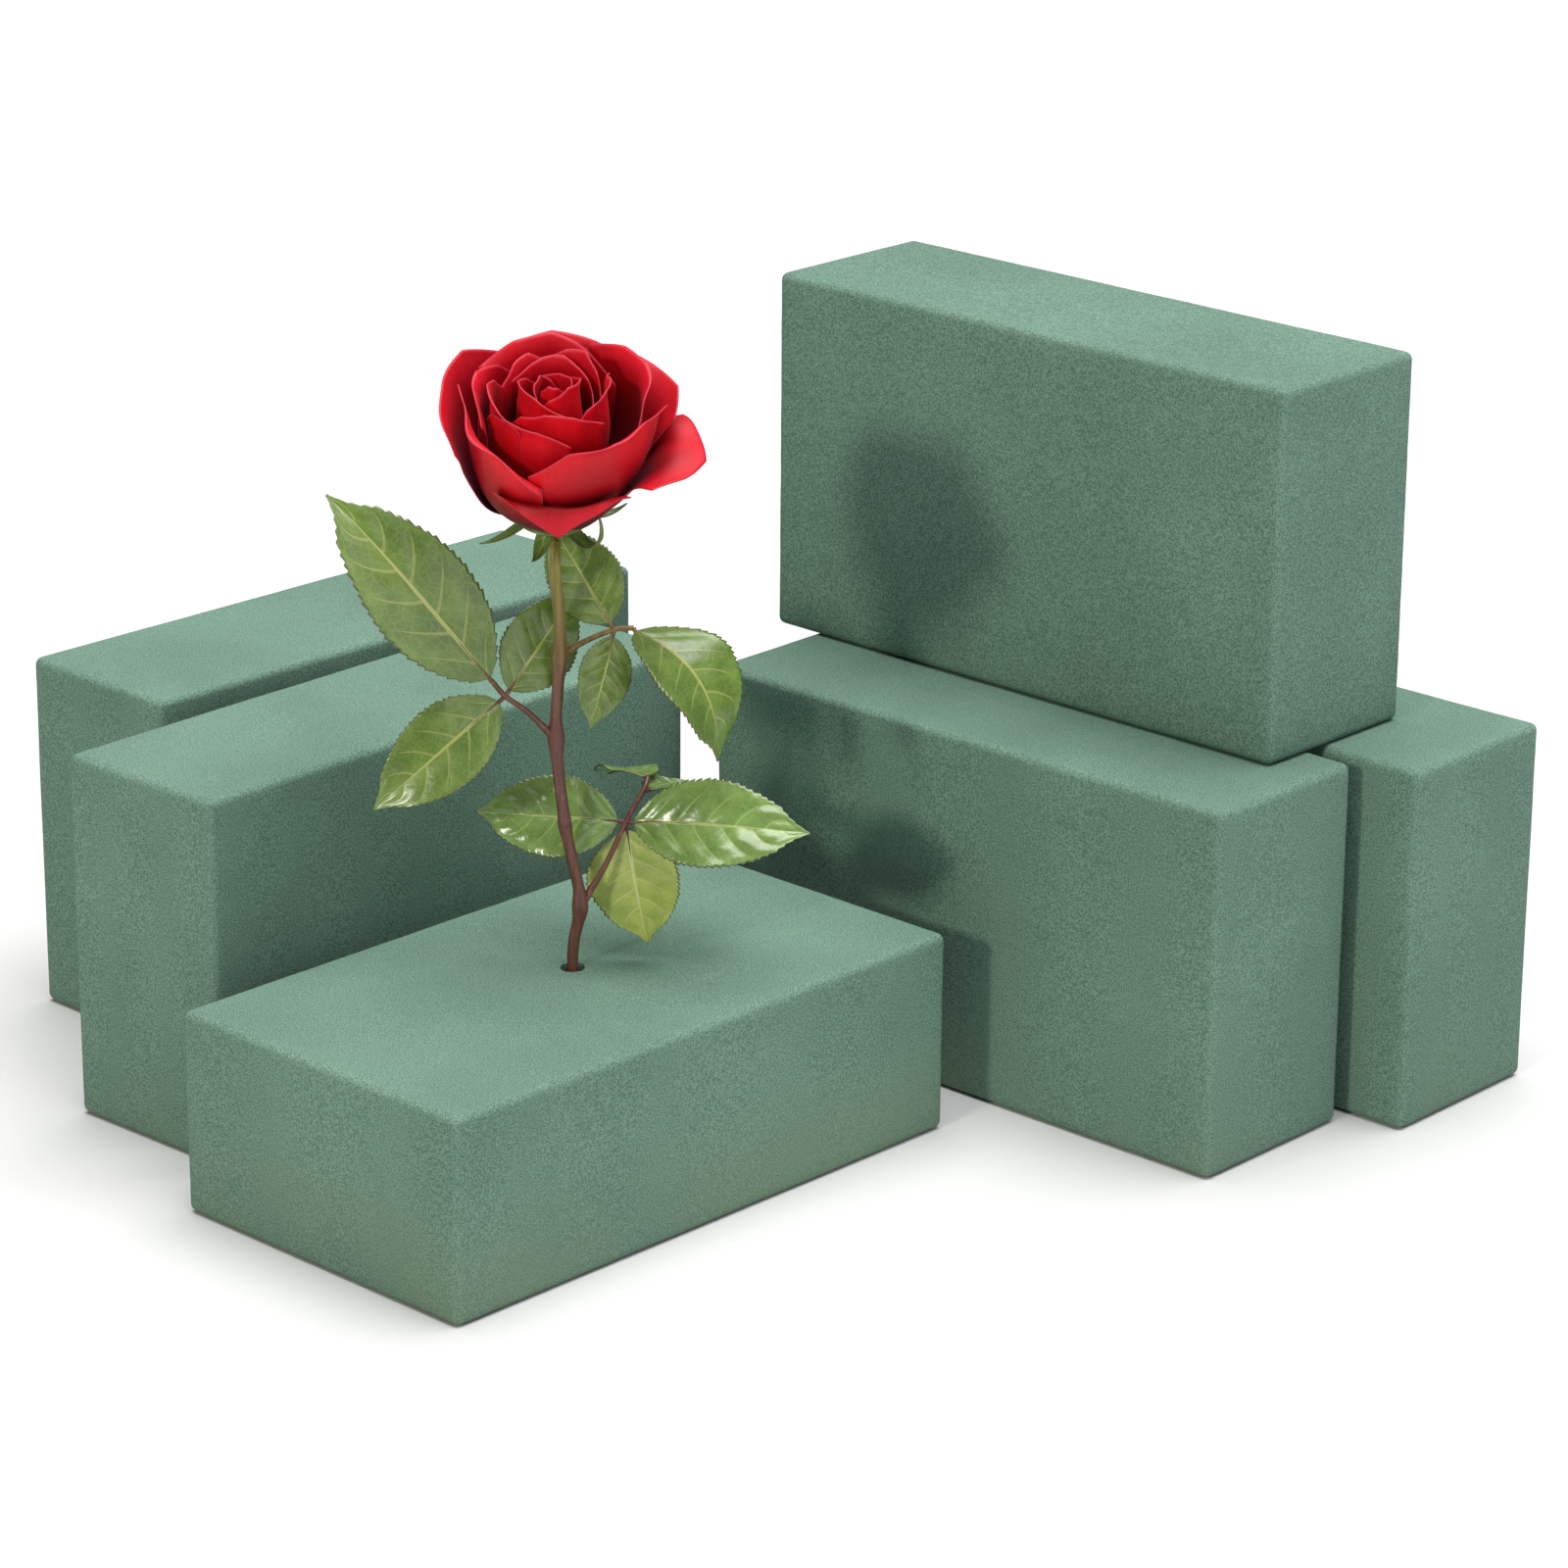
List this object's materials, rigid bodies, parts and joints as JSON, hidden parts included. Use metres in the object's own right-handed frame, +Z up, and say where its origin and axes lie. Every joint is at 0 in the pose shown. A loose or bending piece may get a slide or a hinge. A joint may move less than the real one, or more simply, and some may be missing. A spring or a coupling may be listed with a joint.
{
  "type": "floral foam brick",
  "caption": "Rectangular floral foam bricks with softened edges, stacked and standing, one with a cut rose standing in a hole in its top.",
  "frame": {"origin": "middle of the footprint, on the surface that the bricks stand on", "axes": "+Z up; the flat brick and the two left bricks run along Y, and the two right bricks and the top one along X"},
  "size_m": [0.4324, 0.4095, 0.2897],
  "materials": {
    "foam": "matte",
    "petal": "satin",
    "stem": "satin",
    "leaf": "satin"
  },
  "bodies": {
    "right_front": {"brick_right_front": "foam"},
    "right_back": {"brick_right_back": "foam"},
    "top": {"brick_top": "foam"},
    "left_front": {"brick_left_front": "foam"},
    "left_back": {"brick_left_back": "foam"},
    "flat": {"brick_flat": "foam"},
    "rose": {"rose_stem": "stem", "rose_hip": "leaf", "sepal_1": "leaf", "sepal_2": "leaf", "sepal_3": "leaf", "sepal_4": "leaf", "sepal_5": "leaf", "petal_01": "petal", "petal_02": "petal", "petal_03": "petal", "petal_04": "petal", "petal_05": "petal", "petal_06": "petal", "petal_07": "petal", "petal_08": "petal", "petal_09": "petal", "petal_10": "petal", "petal_11": "petal", "petal_12": "petal", "petal_13": "petal", "petal_14": "petal", "petal_15": "petal", "petal_16": "petal", "petal_17": "petal", "petal_18": "petal", "petal_19": "petal", "petal_20": "petal", "petal_21": "petal", "petal_22": "petal", "leaf_upper_left_stalk": "stem", "leaf_upper_left_end": "leaf", "leaf_upper_left_lower": "leaf", "leaf_upper_left_inner": "leaf", "leaf_upper_right_stalk": "stem", "leaf_upper_right_upper": "leaf", "leaf_upper_right_lower": "leaf", "leaf_upper_right_end": "leaf", "leaf_lower_stalk": "stem", "leaf_lower_left": "leaf", "leaf_lower_right": "leaf", "leaf_lower_front": "leaf", "leaf_lower_back_left": "leaf", "leaf_lower_back_right": "leaf"}
  },
  "joints": [
    {"name": "right_back_draw", "type": "slide", "parent": "right_front", "child": "right_back", "axis": [0, 1, 0], "range_m": [0, 0.1]},
    {"name": "top_lift", "type": "slide", "parent": "right_front", "child": "top", "axis": [0, 0, 1], "range_m": [0, 0.15]},
    {"name": "left_front_lift", "type": "slide", "parent": "right_front", "child": "left_front", "axis": [0, 0, 1], "range_m": [0, 0.15]},
    {"name": "left_back_lift", "type": "slide", "parent": "right_front", "child": "left_back", "axis": [0, 0, 1], "range_m": [0, 0.15]},
    {"name": "flat_lift", "type": "slide", "parent": "right_front", "child": "flat", "axis": [0, 0, 1], "range_m": [0, 0.15]},
    {"name": "rose_pull", "type": "slide", "parent": "flat", "child": "rose", "axis": [0, 0, 1], "range_m": [0, 0.06]}
  ]
}
